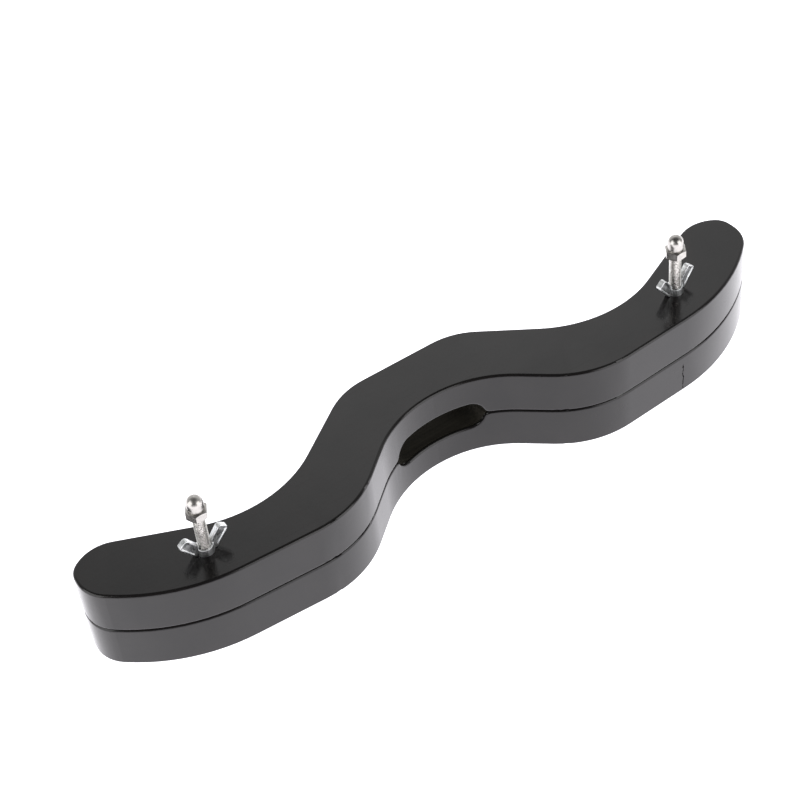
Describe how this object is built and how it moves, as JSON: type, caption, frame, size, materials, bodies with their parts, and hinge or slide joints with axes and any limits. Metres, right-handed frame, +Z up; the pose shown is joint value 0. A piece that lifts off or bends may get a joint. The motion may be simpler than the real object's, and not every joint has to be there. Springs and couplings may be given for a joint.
{
  "type": "two-board clamp",
  "caption": "Wave-shaped wooden clamp: a pair of black boards with a slot between them, drawn together on studs by wing nuts, with domed nuts on the ends.",
  "frame": {"origin": "middle of the underside of the lower board's bounding box, on the surface that it lies on", "axes": "+X along the boards, +Y from the hollow front towards the back, +Z up, along the bolts"},
  "size_m": [0.32, 0.0577, 0.0705],
  "materials": {
    "black_lacquer": "black satin lacquer on solid wood, slight orange peel",
    "bright_plate": "bright nickel plate on steel",
    "zinc_plate": "bright zinc plate on cast or pressed steel, slightly uneven"
  },
  "bodies": {
    "lower_assembly": {"lower_board": "black_lacquer", "left_bolt": "bright_plate", "left_washer": "zinc_plate", "left_cap_nut": "bright_plate", "right_bolt": "bright_plate", "right_washer": "zinc_plate", "right_cap_nut": "bright_plate"},
    "upper_board": {"upper_board": "black_lacquer"},
    "left_wing_nut": {"left_wing_nut": "zinc_plate"},
    "right_wing_nut": {"right_wing_nut": "zinc_plate"}
  },
  "joints": [
    {"name": "upper_board_lift", "type": "slide", "parent": "lower_assembly", "child": "upper_board", "axis": [0, 0, 1], "range_m": [0, 0.0104]},
    {"name": "left_wing_nut_turn", "type": "hinge", "parent": "upper_board", "child": "left_wing_nut", "pos_m": [-0.1135, -0.0107, 0.0405], "axis": [0, 0, 1], "range_deg": [0, 4680]},
    {"name": "right_wing_nut_turn", "type": "hinge", "parent": "upper_board", "child": "right_wing_nut", "pos_m": [0.1135, -0.0107, 0.0405], "axis": [0, 0, 1], "range_deg": [0, 4680]}
  ],
  "couplings": [
    {"joint": "left_wing_nut_turn", "follows": "upper_board_lift", "rad_per_m": 7853.9},
    {"joint": "right_wing_nut_turn", "follows": "upper_board_lift", "rad_per_m": 7853.9}
  ]
}
